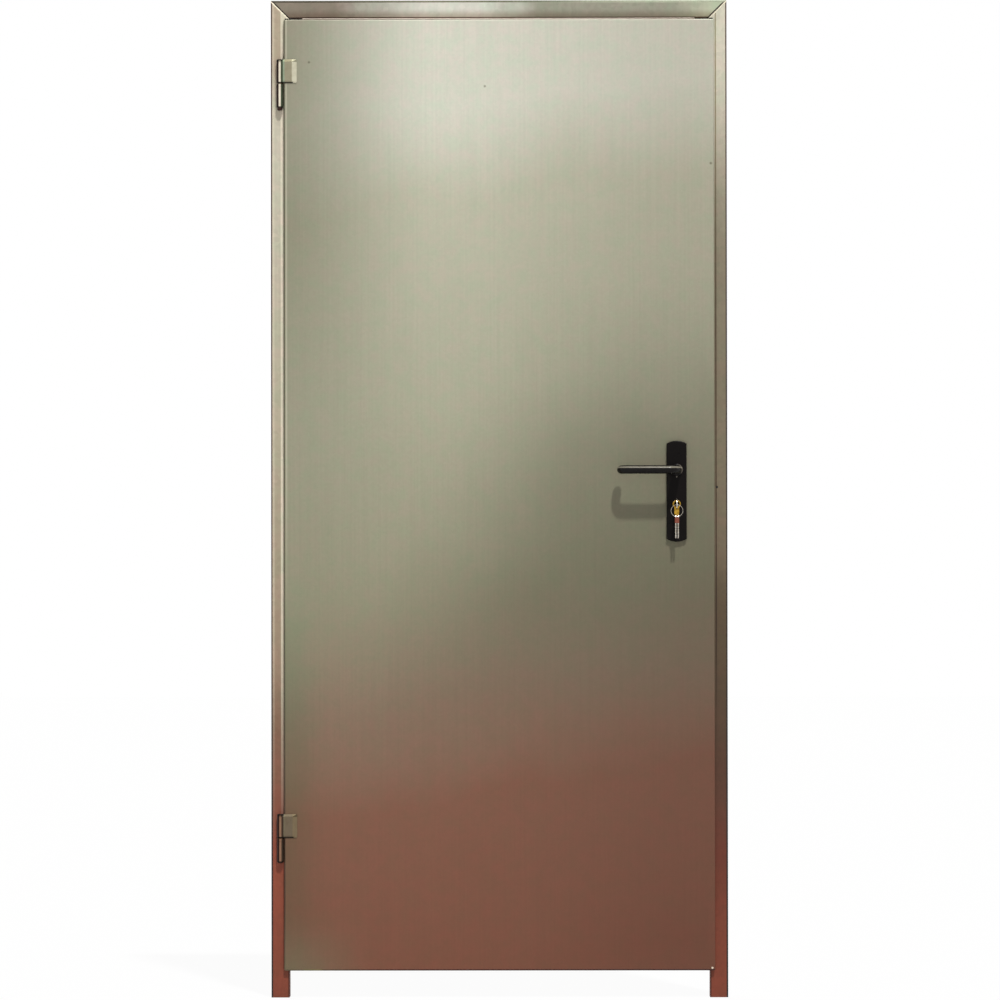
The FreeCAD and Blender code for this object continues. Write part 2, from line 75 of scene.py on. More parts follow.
# Where the fittings lie, from the nodes of the frame
LEAF_LOW, LEAF_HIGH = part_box("leaf_front_skin")
JAMB_LOW, JAMB_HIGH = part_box("hinge_jamb")
LOCK_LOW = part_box("lock_jamb")[0]
HEAD_LOW, HEAD_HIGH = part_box("head_rail")
PLATE_LOW, PLATE_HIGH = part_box("front_plate")
BACK_PLATE_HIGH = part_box("back_plate")[1]
PIN_LOW, PIN_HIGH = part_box("top_hinge_pin")
CYLINDER_LOW, CYLINDER_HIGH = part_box("lock_cylinder")
SPINDLE_LOW, SPINDLE_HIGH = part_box("spindle")
RING_LOW, RING_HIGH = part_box("key_ring")
FOREND_LOW, FOREND_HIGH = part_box("lock_forend")
STRIKE_LOW, STRIKE_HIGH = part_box("strike_plate")
DOOR_WIDTH = HEAD_HIGH.x - HEAD_LOW.x
TUBE_WIDTH = JAMB_HIGH.x - JAMB_LOW.x
LEVER_X = (PLATE_LOW.x + PLATE_HIGH.x) / 2
LEVER_Z = (SPINDLE_LOW.z + SPINDLE_HIGH.z) / 2
HINGE_X = (PIN_LOW.x + PIN_HIGH.x) / 2
CYLINDER_RADIUS = (CYLINDER_HIGH.x - CYLINDER_LOW.x) / 2
CYLINDER_Z = CYLINDER_HIGH.z - CYLINDER_RADIUS


def mm(length):
    """A length in millimetres as metres."""
    return length / 1000


def per_metre(size_mm):
    """The scale that gives a pattern features of about this size."""
    return 1000 / size_mm


def hex_linear(code):
    """An sRGB hex colour as linear red, green and blue."""
    parts = [int(code[place:place + 2], 16) / 255 for place in (0, 2, 4)]
    return tuple(part / 12.92 if part <= 0.04045 else ((part + 0.055) / 1.055) ** 2.4
                 for part in parts)


def opaque(colour):
    """A colour with full cover, as a node's socket takes it."""
    return (colour[0], colour[1], colour[2], 1)


def colour_property(name, description, code):
    """A colour that the panel shows, with an sRGB hex default."""
    return FloatVectorProperty(name=name, description=description, subtype="COLOR", size=3,
                               min=0, max=1, default=hex_linear(code))


def length_property(name, description, size_mm):
    """A length that the panel shows, with a default in millimetres."""
    return FloatProperty(name=name, description=description, unit="LENGTH", subtype="DISTANCE",
                         min=0, default=mm(size_mm))


class DoorSizes(bpy.types.PropertyGroup):
    """Sizes of the small fittings."""
    spangle: length_property("Spangle", "Width of the zinc crystals on the frame", 9)
    sheet_spangle: length_property("Sheet spangle", "Width of the zinc crystals on the leaf", 5)
    weld_width: length_property("Weld width", "Width of the weld beads at the hinges", 3)
    weld_pitch: length_property("Weld ripple", "Distance between the ripples of a weld bead", 1.5)
    screw_radius: length_property("Screw radius", "Radius of the fixing screws' heads", 3.4)
    screw_height: length_property("Screw height", "Height of the fixing screws' heads", 1.2)
    ring_wire: length_property("Ring wire", "Thickness of the split ring's wire", 0.9)
    lever_radius: length_property("Lever radius", "Radius of the levers' round bar", 9)
    lever_bend: length_property("Lever bend", "Radius of the levers' bends, to the bar's middle", 17)
    lever_return: length_property("Lever return", "How far a lever's end comes back to the leaf", 30)
    lever_tip: length_property("Lever tip", "Rounding of a lever's end", 4)
    collar_height: length_property("Collar height", "Height of the collar round a lever's neck", 6)
    collar_round: length_property("Collar rounding", "Rounding of the collar's edge", 2.4)


class DoorFinishes(bpy.types.PropertyGroup):
    """Colours of the finishes."""
    # The leaf's colours from head to floor are painted reflection over the zinc's grey: pale and lit
    # at the head, red-brown below, where the sheet mirrors a red floor
    leaf_head: colour_property("Leaf at the head", "Sheet zinc at the top of the leaf", "d9d9cd")
    leaf_high: colour_property("Leaf high up", "Sheet zinc below the head", "c0bfad")
    leaf_middle: colour_property("Leaf above the lever", "Sheet zinc in the middle", "adac98")
    leaf_low: colour_property("Leaf below the lever", "Sheet zinc where the bloom starts", "938f79")
    leaf_brown_reflection: colour_property("Leaf in the bloom", "Sheet zinc with a brown bloom", "86715f")
    leaf_foot: colour_property("Leaf at the foot", "Sheet zinc stained red-brown", "7c5341")
    leaf_floor: colour_property("Leaf near the floor", "The darkest stain", "754734")
    # The tubes' colours go brown and then red towards the floor: painted reflection of a red floor,
    # as on the leaf
    frame_head: colour_property("Frame at the head", "Zinc on the tubes at the top", "d8d3c3")
    frame_middle: colour_property("Frame in the middle", "Zinc on the tubes half way up", "b6ae99")
    frame_low: colour_property("Frame below", "Zinc on the tubes with a brown bloom", "967c68")
    frame_foot: colour_property("Frame at the feet", "Zinc on the tubes stained rust red", "914832")
    frame_floor: colour_property("Frame at the floor", "The legs' ends", "763824")
    rail_pale: colour_property("Rail, pale", "Zinc on the head rail, where it is palest", "dcdcd3")
    rail_grey: colour_property("Rail, grey", "Zinc on the head rail, towards the lock", "9b9a8b")
    rail_green: colour_property("Rail at the lock end", "Zinc on the head rail over the lock jamb",
                                "bfc6ae")
    rail_dark: colour_property("Rail, dull", "Zinc on the head rail, towards the hinges", "8b8073")
    fitting_zinc: colour_property("Plated fittings", "Clear zinc plating on hinges and strike",
                                  "969079")
    # The dark side of a hinge barrel is painted reflection: the glossy barrel mirrors dark
    # surroundings down its side
    oiled: colour_property("Oiled barrels", "The dark side of a hinge barrel", "220d0a")
    black: colour_property("Black nylon", "Levers and plates", "0f0c0b")
    brass: colour_property("Brass", "Profile cylinder", "c39a3c")
    nickel: colour_property("Nickel silver", "Keys and split ring", "d5cfc4")
    band: colour_property("Key band", "Coloured band on the spare keys", "7e3f2d")
    rubber: colour_property("Rubber", "Lap seals", "1d1c1a")
    wool: colour_property("Mineral wool", "Core of the leaf", "a8975a")


def sizes():
    """The sizes set in the panel."""
    return bpy.context.scene.door_sizes


def finishes():
    """The colours set in the panel."""
    return bpy.context.scene.door_finishes


# Materials

# How metallic a finish is: weathered zinc is kept low, so that it shows shadows as in the photo
WEATHERED, PLATED, BARE_METAL = 0.25, 0.8, 1.0

# Contrast and roughness of the crystals on the sheets and on the tubes
SHEET_SURFACE = (0.02, 0.5)
TUBE_SURFACE = (0.05, 0.52)

# Where a patch starts and is full: on the tubes' flat faces, and on either half of the door
FACE_DEPTH = (mm(21.5), mm(23))
LOCK_HALF = (0.45, 0.55)
HINGE_HALF = (0.55, 0.45)


def add(tree, kind, inputs=None, stops=None, **settings):
    """A node with its settings and links.

    An input gets a value, or a link from a node or from one of its outputs.
    """
    node = tree.nodes.new(kind)
    for name, value in settings.items():
        setattr(node, name, value)
    if stops:
        elements = node.color_ramp.elements
        while len(elements) < len(stops):
            elements.new(1)
        for element, (place, colour) in zip(elements, stops):
            element.position = place
            element.color = opaque(colour)
    for name, value in (inputs or {}).items():
        if isinstance(name, int):
            socket = node.inputs[name]
        else:
            socket = next(entry for entry in node.inputs if entry.enabled and entry.name == name)
        if isinstance(value, bpy.types.Node):
            value = next(entry for entry in value.outputs if entry.enabled)
        if isinstance(value, bpy.types.NodeSocket):
            tree.links.new(value, socket)
        else:
            socket.default_value = value
    return node


def new_material(name, uniform):
    """A material with one shader. What is the same all over is set on the shader's own sockets."""
    material = bpy.data.materials.new(name)
    material.use_nodes = True
    tree = material.node_tree
    tree.nodes.clear()
    shader = add(tree, "ShaderNodeBsdfPrincipled", uniform)
    add(tree, "ShaderNodeOutputMaterial", {"Surface": shader})
    place = add(tree, "ShaderNodeTexCoord").outputs["Object"]
    return material, tree, shader, place


def carry(tree, shader, inputs):
    """Links nodes into a shader that stands already."""
    for name, node in inputs.items():
        result = next(entry for entry in node.outputs if entry.enabled)
        tree.links.new(result, shader.inputs[name])


def patch(tree, *reaches):
    """How much a soft-edged patch covers.

    Each reach is a coordinate, where the patch is clear on it and where it is full.
    """
    share = 1.0
    for coordinate, clear, full in reaches:
        step = add(tree, "ShaderNodeMapRange",
                   {"Value": coordinate, "From Min": clear, "From Max": full},
                   interpolation_type="SMOOTHSTEP")
        share = add(tree, "ShaderNodeMath", {0: step, 1: share}, operation="MULTIPLY")
    return share


def toned(tree, colour, tone, share):
    """A colour multiplied by a tone, as far as the share goes."""
    return add(tree, "ShaderNodeMix", {"Factor": share, "A": colour, "B": opaque(hex_linear(tone))},
               data_type="RGBA", blend_type="MULTIPLY")


def bands(tree, level, stops):
    """The stops' colours along a level in metres."""
    low, high = stops[0][0], stops[-1][0]
    share = add(tree, "ShaderNodeMapRange", {"Value": level, "From Min": low, "From Max": high})
    return add(tree, "ShaderNodeValToRGB", {"Fac": share},
               stops=[((place - low) / (high - low), colour) for place, colour in stops])


def lightened(tree, colour, tone, share, strength=1.0):
    """The colour with a tone laid over part of it."""
    share = add(tree, "ShaderNodeMath", {0: share, 1: strength}, operation="MULTIPLY")
    return add(tree, "ShaderNodeMix", {"Factor": share, "A": colour, "B": opaque(hex_linear(tone))},
               data_type="RGBA")


def reach_from(tree, axes, x, z):
    """How far a point lies from a spot on the door's face, whatever its depth."""
    flat = add(tree, "ShaderNodeCombineXYZ", {"X": axes.outputs["X"], "Z": axes.outputs["Z"]})
    return add(tree, "ShaderNodeVectorMath", {0: flat, 1: (x, 0, z)}, operation="DISTANCE")


def section_places(tree, axes):
    """How far a point stands out from the opening, sideways and upwards, and its depth."""
    half = DOOR_WIDTH / 2
    sideways = add(tree, "ShaderNodeMath", {0: axes.outputs["X"], 1: half}, operation="SUBTRACT")
    sideways = add(tree, "ShaderNodeMath", {0: sideways}, operation="ABSOLUTE")
    sideways = add(tree, "ShaderNodeMath", {0: sideways, 1: half - TUBE_WIDTH},
                   operation="SUBTRACT")
    upwards = add(tree, "ShaderNodeMath", {0: axes.outputs["Z"], 1: HEAD_LOW.z},
                  operation="SUBTRACT")
    depth = add(tree, "ShaderNodeMath", {0: axes.outputs["Y"]}, operation="ABSOLUTE")
    return sideways, upwards, depth


def tube_edges(tree, colour, outwards, off_mitre, depth, rim, tones):
    """A tube's rolled corners, painted dark as shade and dark reflection, and a painted tone on its
    mitre's edge: a highlight on the jambs, shade on the rail.
    """
    outer, inner, mitre = tones
    on_face = (depth, *FACE_DEPTH)
    edge = TUBE_WIDTH - rim
    for tone, share in (
            (outer, patch(tree, (outwards, edge - mm(0.6), edge + mm(0.6)), on_face)),
            (inner, patch(tree, (outwards, mm(4), mm(1.6)), on_face))):
        colour = toned(tree, colour, tone, share)
    return lightened(tree, colour, mitre, patch(tree, (off_mitre, mm(4.2), mm(3.4)), on_face))


def zinc_surface(tree, shader, place, colour, spangle, surface):
    """Zinc crystals, a faint two-tone mottle, rolling lines and an uneven sheen."""
    contrast, rough = surface
    crystals = add(tree, "ShaderNodeTexVoronoi",
                   {"Vector": place, "Scale": 1 / spangle, "Randomness": 1.0})
    tone = add(tree, "ShaderNodeSeparateColor", {0: crystals.outputs["Color"]})
    tone = add(tree, "ShaderNodeMapRange",
               {"Value": tone, "To Min": 1 - contrast, "To Max": 1 + contrast})
    mottle = add(tree, "ShaderNodeTexNoise", {"Vector": place, "Scale": per_metre(34), "Detail": 3.0,
                                              "Roughness": 0.6})
    mottle = add(tree, "ShaderNodeMapRange", {"Value": mottle, "From Min": 0.35, "From Max": 0.65})
    tint = add(tree, "ShaderNodeMix", {"Factor": mottle, "A": opaque(hex_linear("fff8f5")),
                                       "B": opaque(hex_linear("f5faf1"))}, data_type="RGBA")
    colour = add(tree, "ShaderNodeMix", {"Factor": 1.0, "A": colour, "B": tint},
                 data_type="RGBA", blend_type="MULTIPLY")
    rolled = add(tree, "ShaderNodeMapping", {"Vector": place, "Scale": (1, 1, 0.012)})
    rolled = add(tree, "ShaderNodeTexNoise",
                 {"Vector": rolled, "Scale": per_metre(4.5), "Detail": 2.0})
    rolled = add(tree, "ShaderNodeMapRange", {"Value": rolled, "From Min": 0.3, "From Max": 0.7,
                                              "To Min": 0.975, "To Max": 1.025})
    tone = add(tree, "ShaderNodeMath", {0: tone, 1: rolled}, operation="MULTIPLY")
    scaled = add(tree, "ShaderNodeVectorMath", {0: colour, "Scale": tone}, operation="SCALE")
    sheen = add(tree, "ShaderNodeTexNoise", {"Vector": place, "Scale": per_metre(60), "Detail": 3.0})
    sheen = add(tree, "ShaderNodeMapRange", {"Value": sheen, "From Min": 0.3, "From Max": 0.7,
                                             "To Min": rough - 0.06, "To Max": rough + 0.06})
    grain = add(tree, "ShaderNodeTexNoise", {"Vector": place, "Scale": per_metre(3), "Detail": 2.0})
    relief = add(tree, "ShaderNodeMath", {0: crystals.outputs["Distance"], 1: 0.4, 2: grain},
                 operation="MULTIPLY_ADD")
    bump = add(tree, "ShaderNodeBump", {"Height": relief, "Strength": 0.12, "Distance": mm(0.2)})
    carry(tree, shader, {"Base Color": scaled, "Roughness": sheen, "Normal": bump})


def sheet_zinc():
    """Skin-passed galvanised sheet, with painted reflection from pale above to red-brown below, and
    painted shade towards the lock.
    """
    paint = finishes()
    material, tree, shader, place = new_material("galvanised_sheet", {"Metallic": WEATHERED})
    axes = add(tree, "ShaderNodeSeparateXYZ", {"Vector": place})
    across, up = axes.outputs["X"], axes.outputs["Z"]
    wander = add(tree, "ShaderNodeTexNoise",
                 {"Vector": place, "Scale": per_metre(350), "Detail": 2.0})
    level = add(tree, "ShaderNodeMath", {0: wander, 1: 0.16, 2: up}, operation="MULTIPLY_ADD")
    leaning = add(tree, "ShaderNodeMath", {0: across, 1: -0.12, 2: level}, operation="MULTIPLY_ADD")
    # Painted reflection: pale and lit at the head, red-brown towards the floor
    colour = bands(tree, leaning, [
        (0.04, paint.leaf_floor), (0.4, paint.leaf_foot), (0.61, paint.leaf_brown_reflection),
        (0.85, paint.leaf_low), (1.24, paint.leaf_middle), (1.66, paint.leaf_high),
        (1.87, paint.leaf_head)])
    # Painted shade: darker towards the lock, deepest in a wedge on the lock side half way down, and
    # darker on the hinge side towards the head
    slanted = add(tree, "ShaderNodeMath", {0: level, 1: -0.5, 2: across}, operation="MULTIPLY_ADD")
    lock_side = patch(tree, (across, 0.33, 0.92))
    shade_wedge = patch(tree, (slanted, -0.3, 0.18), (level, 1.62, 1.0), (level, 0.42, 0.95))
    hinge_side = patch(tree, (across, 0.36, 0.0), (level, 0.6, 2.05))
    for tone, share in (("e4e2e0", lock_side), ("d2d3ce", shade_wedge), ("aeac9f", hinge_side)):
        colour = toned(tree, colour, tone, share)
    inset = add(tree, "ShaderNodeMath", {0: across, 1: LEAF_LOW.x}, operation="SUBTRACT")
    # Painted shade: a dark line along the fold at the leaf's hinge edge
    fold_shade = patch(tree, (inset, mm(3), mm(2)))
    colour = toned(tree, colour, "a5a196", fold_shade)
    # Painted highlight: a light line beside that fold, from about a metre up
    fold = patch(tree, (inset, mm(3.6), mm(4.4)), (inset, mm(7.6), mm(6.6)))
    lit = add(tree, "ShaderNodeMath", {0: fold, 1: patch(tree, (up, 0.7, 1.2))}, operation="MULTIPLY")
    colour = lightened(tree, colour, "d8d3c0", lit, 0.4)
    # Painted shade: a dark line along the leaf's lower edge
    hem = patch(tree, (up, LEAF_LOW.z + mm(3.6), LEAF_LOW.z + mm(2.4)))
    colour = toned(tree, colour, "9a7a70", hem)
    # The painted glint and the dents are seen on the front alone, so they stop behind the front skin
    on_front = (axes.outputs["Y"], LEAF_LOW.y + mm(7), LEAF_LOW.y + mm(6))
    # Painted highlight: a yellow glint along the leaf's foot, near the hinge side
    painted_glint = patch(tree, (across, 0.064, 0.072), (across, 0.112, 0.1),
                 (up, LEAF_LOW.z + mm(4), LEAF_LOW.z + mm(2)), on_front)
    colour = lightened(tree, colour, "9a8c46", painted_glint, 0.6)
    foot_corner = patch(tree, (across, 0.24, 0.04), (level, 0.22, 0.08))
    hinge_foot = patch(tree, (across, 0.13, 0.03), (level, 1.0, 0.6))
    colour = lightened(tree, toned(tree, colour, "dffaee", hinge_foot), "70654e", foot_corner, 0.7)
    for x, z in ((mm(81), mm(1917)), (mm(451), mm(1866)), (mm(926), mm(1703))):
        dent = patch(tree, (reach_from(tree, axes, x, z), mm(4), mm(0.5)), on_front)
        colour = toned(tree, colour, "b5b1a8", dent)
    zinc_surface(tree, shader, place, colour, sizes().sheet_spangle, SHEET_SURFACE)
    return material


def tube_zinc():
    """Batch galvanised tube: larger crystals than the sheet's, painted reflection going red-brown
    towards the floor, and painted shade and highlights.
    """
    paint = finishes()
    material, tree, shader, place = new_material("galvanised_tube", {"Metallic": WEATHERED})
    axes = add(tree, "ShaderNodeSeparateXYZ", {"Vector": place})
    across, up = axes.outputs["X"], axes.outputs["Z"]
    wander = add(tree, "ShaderNodeTexNoise",
                 {"Vector": place, "Scale": per_metre(180), "Detail": 3.0})
    level = add(tree, "ShaderNodeMath", {0: wander, 1: 0.1, 2: up}, operation="MULTIPLY_ADD")
    # Painted reflection: pale above, brown and then red towards the floor
    colour = bands(tree, level, [
        (0.0, paint.frame_floor), (0.3, paint.frame_foot), (0.62, paint.frame_low),
        (1.2, paint.frame_middle), (2.0, paint.frame_head)])
    # Painted shade: the lock jamb is darker over most of its height, most of all half way down
    lock_side = patch(tree, (across, *LOCK_HALF), (level, 2.02, 1.55), (level, 0.0, 0.35))
    lock_shade_middle = patch(tree, (across, *LOCK_HALF), (level, 1.0, 0.8), (level, 0.3, 0.5))
    hinge_side = patch(tree, (across, *HINGE_HALF), (level, 1.8, 1.98))
    brown_side = patch(tree, (across, *HINGE_HALF), (level, 0.75, 0.55), (level, 0.2, 0.4))
    for tone, share in (("aea79e", lock_side), ("ccc6b4", lock_shade_middle), ("dccdc4", hinge_side),
                        ("e2d6d0", brown_side)):
        colour = toned(tree, colour, tone, share)
    sideways, upwards, depth = section_places(tree, axes)
    on_face = (depth, *FACE_DEPTH)
    lip_edge = TUBE_WIDTH - LEAF_LOW.x
    # Painted shadow: a dark line on the lock jamb beside the leaf's edge, redder lower down
    gap_shadow = patch(tree, (sideways, lip_edge + mm(2.2), lip_edge + mm(3)),
                  (sideways, lip_edge + mm(5.4), lip_edge + mm(4.6)), (across, *LOCK_HALF),
                  (up, 0.45, 0.8), on_face)
    colour = toned(tree, colour, "bab29e", gap_shadow)
    low_gap_shadow = add(tree, "ShaderNodeMath", {0: gap_shadow, 1: patch(tree, (up, 1.75, 1.3))},
                    operation="MULTIPLY")
    colour = toned(tree, colour, "c4a898", low_gap_shadow)
    # Painted shade and dark reflection on the tubes' outer edges near the floor
    foot_edge_shade = patch(tree, (sideways, TUBE_WIDTH - mm(4), TUBE_WIDTH - mm(3)), (level, 0.9, 0.4),
                      on_face)
    colour = toned(tree, colour, "785850", foot_edge_shade)
    # Painted highlights on the hinge jamb's face: a light strip beside the leaf and a faint one by
    # the outer edge
    highlight_reaches = [(across, *HINGE_HALF), (up, 0.2, 0.9), on_face]
    beside_leaf_highlight = patch(tree, (sideways, lip_edge + mm(7.6), lip_edge + mm(6.4)), *highlight_reaches)
    colour = lightened(tree, colour, "f2e9d6", beside_leaf_highlight, 0.75)
    outer_highlight = patch(tree, (sideways, TUBE_WIDTH - mm(8), TUBE_WIDTH - mm(6.5)), *highlight_reaches)
    colour = lightened(tree, colour, "efe6d2", outer_highlight, 0.3)
    off_mitre = add(tree, "ShaderNodeMath", {0: sideways, 1: upwards}, operation="SUBTRACT")
    # Painted shade on the outer and inner rolled corners, and a painted highlight on the mitre's edge
    colour = tube_edges(tree, colour, sideways, off_mitre, depth, mm(2.8),
                        ("5a3d38", "b0a090", "f6ecd8"))
    zinc_surface(tree, shader, place, colour, sizes().spangle, TUBE_SURFACE)
    return material


def rail_zinc():
    """Galvanised tube of the head rail, darker towards the hinges and palest over the leaf's left,
    with painted shade and a painted highlight.
    """
    paint = finishes()
    material, tree, shader, place = new_material("galvanised_rail", {"Metallic": WEATHERED})
    axes = add(tree, "ShaderNodeSeparateXYZ", {"Vector": place})
    wander = add(tree, "ShaderNodeTexNoise", {"Vector": place, "Scale": per_metre(60), "Detail": 3.0})
    along = add(tree, "ShaderNodeMath", {0: wander, 1: 0.1, 2: axes.outputs["X"]},
                operation="MULTIPLY_ADD")
    colour = bands(tree, along, [
        (0.1, paint.rail_dark), (0.2, paint.rail_dark), (0.36, paint.rail_pale),
        (0.5, paint.rail_pale), (0.62, paint.rail_grey), (0.88, paint.rail_grey),
        (1.0, paint.rail_green)])
    sideways, upwards, depth = section_places(tree, axes)
    # Painted shade: darker towards the rail's lower edge
    colour = toned(tree, colour, "d8cdc4", patch(tree, (upwards, mm(22), mm(4))))
    off_mitre = add(tree, "ShaderNodeMath", {0: upwards, 1: sideways}, operation="SUBTRACT")
    # Painted highlight on the rail's top rim, towards the lock
    top_rim_highlight = patch(tree, (upwards, TUBE_WIDTH - mm(6), TUBE_WIDTH - mm(5)),
                     (axes.outputs["X"], 0.45, 0.8))
    # Painted shade on the top and lower rolled corners and on the mitre's edge
    colour = tube_edges(tree, colour, upwards, off_mitre, depth, mm(4.2),
                        ("7c7a68", "8f6a5e", "2c2418"))
    colour = lightened(tree, colour, "bac0aa", top_rim_highlight, 0.75)
    zinc_surface(tree, shader, place, colour, sizes().spangle, TUBE_SURFACE)
    return material


def plated_zinc(material, tree, shader, place, colour):
    """Electroplated zinc on cold-drawn steel: an even sheen, fine drawing marks, a few dull spots."""
    marks = add(tree, "ShaderNodeMapping", {"Vector": place, "Scale": (1, 1, 0.08)})
    marks = add(tree, "ShaderNodeTexNoise", {"Vector": marks, "Scale": per_metre(1.2), "Detail": 2.0})
    stain = add(tree, "ShaderNodeTexNoise", {"Vector": place, "Scale": per_metre(12), "Detail": 3.0})
    stain = add(tree, "ShaderNodeMapRange", {"Value": stain, "From Min": 0.45, "From Max": 0.75,
                                             "To Max": 0.35})
    colour = toned(tree, colour, "c4b8a6", stain)
    rough = add(tree, "ShaderNodeMapRange", {"Value": marks, "To Min": 0.42, "To Max": 0.56})
    bump = add(tree, "ShaderNodeBump", {"Height": marks, "Strength": 0.15, "Distance": mm(0.1)})
    carry(tree, shader, {"Base Color": colour, "Roughness": rough, "Normal": bump})
    return material


def fitting_zinc(name, plain):
    """The plating on flat fittings."""
    material, tree, shader, place = new_material(name, {"Metallic": PLATED})
    colour = add(tree, "ShaderNodeRGB")
    colour.outputs[0].default_value = opaque(plain)
    return plated_zinc(material, tree, shader, place, colour)


def barrel_zinc(hinge, tones):
    """A hinge's plating with painted light: dark reflection and a highlight down the barrel, shade on
    its far side, and a highlight on the wing's rim.
    """
    bright, shaded, dark, neck, flat, painted_highlight = [hex_linear(tone) for tone in tones]
    # The barrel's dark side: painted reflection of dark surroundings
    oiled = finishes().oiled
    wing_low, wing_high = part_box(hinge + "_wing")
    barrel_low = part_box(hinge + "_barrel")[0]
    material, tree, shader, place = new_material(hinge + "_zinc", {"Metallic": PLATED})
    axes = add(tree, "ShaderNodeSeparateXYZ", {"Vector": place})
    up = axes.outputs["Z"]
    across = add(tree, "ShaderNodeMath", {0: axes.outputs["X"], 1: HINGE_X}, operation="SUBTRACT")
    slope = wing_high.x - HINGE_X
    # Across the hinge: painted dark reflection, a painted highlight, painted shade, the wing's neck,
    # its flat and a painted highlight on its rim
    colour = bands(tree, across, [
        (mm(-7), oiled), (mm(-2.7), oiled), (mm(-1.8), bright), (mm(1.6), bright),
        (mm(2.5), shaded), (mm(6), dark), (mm(7), neck), (mm(9.6), neck), (mm(10.6), flat),
        (slope - mm(11), flat), (slope - mm(9), painted_highlight), (slope, painted_highlight)])
    barrel = (across, mm(7.6), mm(6.8))
    # Painted shade at the barrel's ends and along the wing's lower edge
    for end in (patch(tree, (up, wing_high.z - mm(3.2), wing_high.z - mm(2.4)), barrel),
                patch(tree, (up, barrel_low.z + mm(2.8), barrel_low.z + mm(2)), barrel),
                patch(tree, (up, wing_low.z + mm(3), wing_low.z + mm(2.2)),
                      (up, wing_low.z - mm(0.4), wing_low.z),
                      (across, slope - mm(6), slope - mm(9)))):
        colour = lightened(tree, colour, "0d0806", end, 0.9)
    # Painted shade on the hinge's top slope, which keeps the lamp's highlight there dim
    crown = patch(tree, (up, wing_high.z - mm(6), wing_high.z - mm(5)))
    colour = toned(tree, colour, "b8b8b0", crown)
    return plated_zinc(material, tree, shader, place, colour)


def turned_steel(name, colour, lighter):
    """Free-cutting steel, turned and lightly oiled, with fine rings and a clear highlight."""
    material, tree, shader, place = new_material(name, {"Metallic": BARE_METAL})
    rings = add(tree, "ShaderNodeTexNoise", {"Vector": place, "Scale": per_metre(0.8), "Detail": 2.0})
    colour = add(tree, "ShaderNodeMix", {"Factor": rings, "A": opaque(hex_linear(colour)),
                                         "B": opaque(hex_linear(lighter))}, data_type="RGBA")
    rough = add(tree, "ShaderNodeMapRange", {"Value": rings, "To Min": 0.28, "To Max": 0.42})
    carry(tree, shader, {"Base Color": colour, "Roughness": rough})
    return material


def black_nylon(name, specular, rough, painted_highlight):
    """Black glass-filled nylon: a fine etched grain, and a painted highlight along the bar's top and
    round the collar's rim.
    """
    material, tree, shader, place = new_material(name, {"Specular IOR Level": specular})
    axes = add(tree, "ShaderNodeSeparateXYZ", {"Vector": place})
    grain = add(tree, "ShaderNodeTexNoise", {"Vector": place, "Scale": per_metre(0.9), "Detail": 2.0})
    rubbed = add(tree, "ShaderNodeTexNoise", {"Vector": place, "Scale": per_metre(28), "Detail": 2.0})
    sheen = add(tree, "ShaderNodeMapRange", {"Value": rubbed, "From Min": 0.35, "From Max": 0.65,
                                             "To Min": rough - 0.04, "To Max": rough + 0.04})
    colour = add(tree, "ShaderNodeMix", {"Factor": rubbed, "A": opaque(finishes().black),
                                         "B": opaque(hex_linear("13100f"))}, data_type="RGBA")
    above = add(tree, "ShaderNodeMath", {0: axes.outputs["Z"], 1: LEVER_Z}, operation="SUBTRACT")
    # Painted highlight along the top of the bar
    crown = patch(tree, (above, mm(2.4), mm(3.8)), (above, mm(7), mm(5.6)))
    colour = lightened(tree, colour, "b2ab99", crown, painted_highlight)
    # Painted highlight round the collar's rim
    reach = reach_from(tree, axes, LEVER_X + mm(1), LEVER_Z)
    rim = patch(tree, (reach, mm(9.4), mm(10.4)), (reach, mm(12.6), mm(11.6)),
                (axes.outputs["X"], LEVER_X, LEVER_X + mm(8)), (above, mm(-9), mm(-4)))
    colour = lightened(tree, colour, "8a8073", rim, painted_highlight)
    bump = add(tree, "ShaderNodeBump", {"Height": grain, "Strength": 0.06, "Distance": mm(0.1)})
    carry(tree, shader, {"Base Color": colour, "Roughness": sheen, "Normal": bump})
    return material


def cut_metal(name, colour, darker, rough):
    """A machined metal with fine lengthwise cutter marks and a little tarnish."""
    material, tree, shader, place = new_material(name, {"Metallic": BARE_METAL})
    tarnish = add(tree, "ShaderNodeTexNoise", {"Vector": place, "Scale": per_metre(5), "Detail": 3.0})
    tarnish = add(tree, "ShaderNodeMapRange", {"Value": tarnish, "From Min": 0.4, "From Max": 0.75})
    tone = add(tree, "ShaderNodeMix", {"Factor": tarnish, "A": opaque(colour), "B": opaque(darker)},
               data_type="RGBA")
    marks = add(tree, "ShaderNodeMapping", {"Vector": place, "Scale": (1, 0.1, 1)})
    marks = add(tree, "ShaderNodeTexNoise", {"Vector": marks, "Scale": per_metre(0.5), "Detail": 1.0})
    sheen = add(tree, "ShaderNodeMapRange",
                {"Value": marks, "To Min": rough - 0.05, "To Max": rough + 0.1})
    carry(tree, shader, {"Base Color": tone, "Roughness": sheen})
    return material


